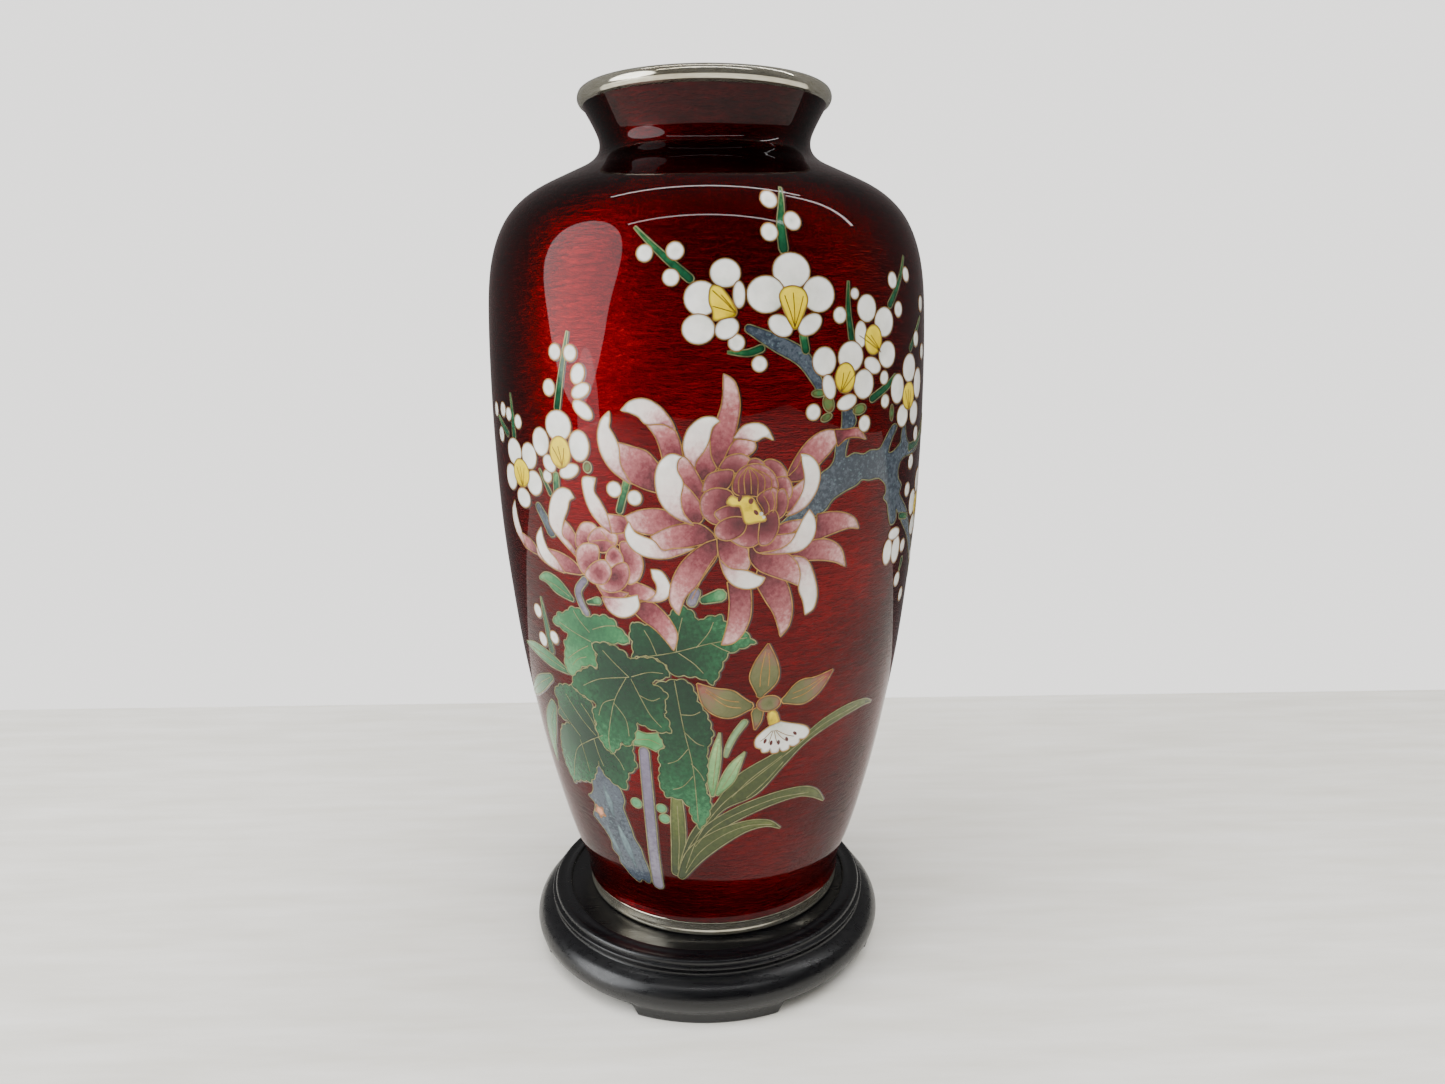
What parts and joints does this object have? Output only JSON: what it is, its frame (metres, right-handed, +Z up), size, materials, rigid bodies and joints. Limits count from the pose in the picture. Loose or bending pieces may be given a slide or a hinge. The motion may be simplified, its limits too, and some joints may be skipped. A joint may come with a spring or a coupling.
{
  "type": "cloisonne vase",
  "caption": "Tall shouldered vase of red glass over foil with wired flower cells, metal-banded lip and foot, resting in a turned black wooden stand.",
  "frame": {"origin": "on the vase's axis, on the surface that the stand rests on", "axes": "+Z up along the vase's axis, -Y towards the viewer of the painted design, +X to the viewer's right"},
  "size_m": [0.1264, 0.1266, 0.2568],
  "materials": {
    "stand_wood": "black lacquer, satin",
    "copper": "raised copper, unpolished",
    "foil": "thin silver foil with a fine hammered grain",
    "red_glass": "transparent red glass over foil, polished",
    "lining_glass": "dark counter enamel, glossy",
    "base_glass": "dark counter enamel, glossy",
    "silver_band": "polished silver",
    "bark_glass": "mottled blue-grey glass, polished",
    "pale_leaf_glass": "pale green glass, polished",
    "stem_glass": "lilac-grey glass, polished",
    "blade_glass": "olive green glass, polished",
    "leaf_glass": "deep green glass, polished",
    "twig_glass": "green glass, polished",
    "sepal_glass": "green and brown glass, polished",
    "mauve_glass": "mauve glass shading to white, polished",
    "curl_glass": "white glass, polished",
    "sepal_olive_glass": "olive glass with red tips, polished",
    "white_glass": "opaque white glass, polished",
    "yellow_glass": "opaque yellow glass, polished",
    "wire": "fine gilt wire, polished flush"
  },
  "bodies": {
    "stand": {"stand": "stand_wood"},
    "vase": {"copper_body": "copper", "silver_foil": "foil", "red_ground": "red_glass", "inner_lining": "lining_glass", "base_enamel": "base_glass", "lip_band": "silver_band", "foot_band": "silver_band", "plum_trunk": "bark_glass", "mum_leaves_pale": "pale_leaf_glass", "mum_stem_buds": "pale_leaf_glass", "mum_stems": "stem_glass", "orchid_blades": "blade_glass", "orchid_stem": "pale_leaf_glass", "orchid_shoots": "pale_leaf_glass", "mum_leaves_dark": "leaf_glass", "plum_branches": "bark_glass", "plum_twigs": "twig_glass", "plum_sepals": "sepal_glass", "mum_small_petals": "mauve_glass", "mum_small_curls": "curl_glass", "mum_small_ball": "mauve_glass", "mum_large_petals": "mauve_glass", "mum_large_curls": "curl_glass", "mum_large_ball": "mauve_glass", "mum_large_heart": "yellow_glass", "orchid_sepals": "sepal_olive_glass", "orchid_lip": "white_glass", "plum_buds": "white_glass", "plum_petals": "white_glass", "plum_hearts": "yellow_glass", "plum_wires": "wire", "mum_small_wires": "wire", "mum_curl_wires": "wire", "mum_petal_wires": "wire", "leaf_wires": "wire", "orchid_wires": "wire"}
  },
  "joints": [
    {"name": "vase_lift", "type": "slide", "parent": "stand", "child": "vase", "axis": [0, 0, 1], "range_m": [0, 0.1]}
  ]
}
